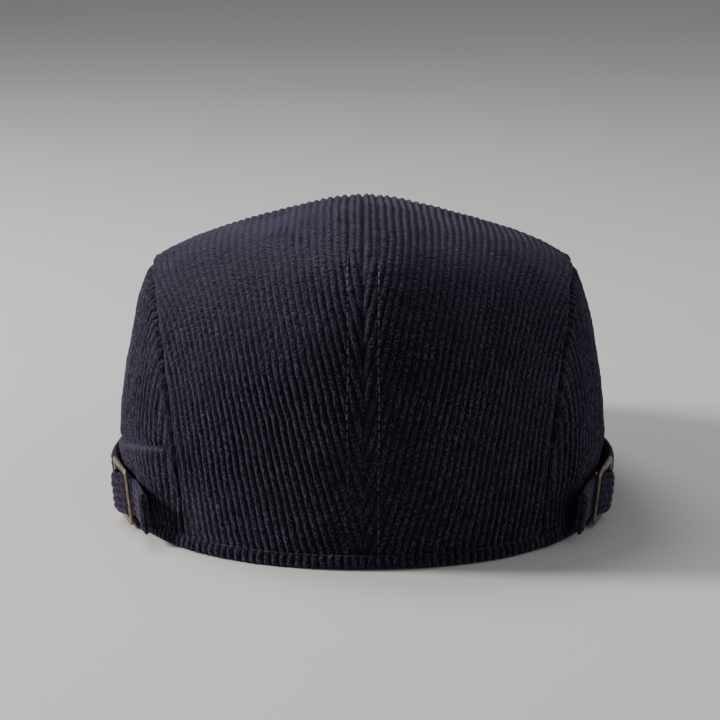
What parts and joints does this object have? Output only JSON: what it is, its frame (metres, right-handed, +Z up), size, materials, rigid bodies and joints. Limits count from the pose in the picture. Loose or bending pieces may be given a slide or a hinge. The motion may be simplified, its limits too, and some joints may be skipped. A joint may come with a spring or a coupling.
{
  "type": "flat cap",
  "caption": "Flat newsboy cap in dark wide-wale corduroy, with a short visor and a strap with a metal slider at each side.",
  "frame": {"origin": "middle of the cap's footprint, on the surface that the hem stands on", "axes": "+Y forwards to the visor, +X to the wearer's right, +Z up to the crown"},
  "size_m": [0.182, 0.2648, 0.1117],
  "materials": {
    "corduroy": "matte",
    "interlining": "matte",
    "lining": "satin",
    "sweatband": "matte",
    "board": "matte",
    "keeper_tape": "matte",
    "slider_metal": "satin",
    "label": "matte"
  },
  "bodies": {
    "cap": {"crown_interlining_left": "interlining", "crown_interlining_right": "interlining", "crown_left": "corduroy", "crown_lining_left": "lining", "crown_lining_right": "lining", "crown_right": "corduroy", "hem_binding": "corduroy", "keeper_loop_left": "keeper_tape", "keeper_loop_right": "keeper_tape", "side_interlining_left": "interlining", "side_interlining_right": "interlining", "side_lining_left": "lining", "side_lining_right": "lining", "side_panel_left": "corduroy", "side_panel_right": "corduroy", "size_label": "label", "strap_left": "corduroy", "strap_right": "corduroy", "sweatband": "sweatband", "visor_board": "board", "visor_top_cover": "corduroy", "visor_under_cover": "corduroy"},
    "slider_left": {"slider_frame_left": "slider_metal", "slider_middle_bar_left": "slider_metal"},
    "strap_draw_left": {"strap_drawn_part_left": "corduroy"},
    "strap_end_left": {"strap_tail_left": "corduroy"},
    "slider_right": {"slider_frame_right": "slider_metal", "slider_middle_bar_right": "slider_metal"},
    "strap_draw_right": {"strap_drawn_part_right": "corduroy"},
    "strap_end_right": {"strap_tail_right": "corduroy"}
  },
  "joints": [
    {"name": "slider_rock_left", "type": "hinge", "parent": "cap", "child": "slider_left", "pos_m": [-0.08519, -0.07142, 0.01138], "axis": [0.1007, 0.0279, -0.9945], "range_deg": [-1.5, 1.5]},
    {"name": "strap_draw_left_slide", "type": "slide", "parent": "cap", "child": "strap_draw_left", "axis": [0.3474, -0.9377, 0.0089], "range_m": [0, 0.012]},
    {"name": "strap_end_left_lift", "type": "hinge", "parent": "strap_draw_left", "child": "strap_end_left", "pos_m": [-0.07941, -0.08433, 0.01161], "axis": [0.1007, 0.0279, -0.9945], "range_deg": [-4, 75], "stiffness_Nm_per_rad": 0.0005},
    {"name": "slider_rock_right", "type": "hinge", "parent": "cap", "child": "slider_right", "pos_m": [0.08519, -0.07142, 0.01138], "axis": [0.1007, -0.0279, 0.9945], "range_deg": [-1.5, 1.5]},
    {"name": "strap_draw_right_slide", "type": "slide", "parent": "cap", "child": "strap_draw_right", "axis": [-0.3474, -0.9377, 0.0089], "range_m": [0, 0.012]},
    {"name": "strap_end_right_lift", "type": "hinge", "parent": "strap_draw_right", "child": "strap_end_right", "pos_m": [0.07941, -0.08433, 0.01161], "axis": [0.1007, -0.0279, 0.9945], "range_deg": [-4, 75], "stiffness_Nm_per_rad": 0.0005}
  ]
}
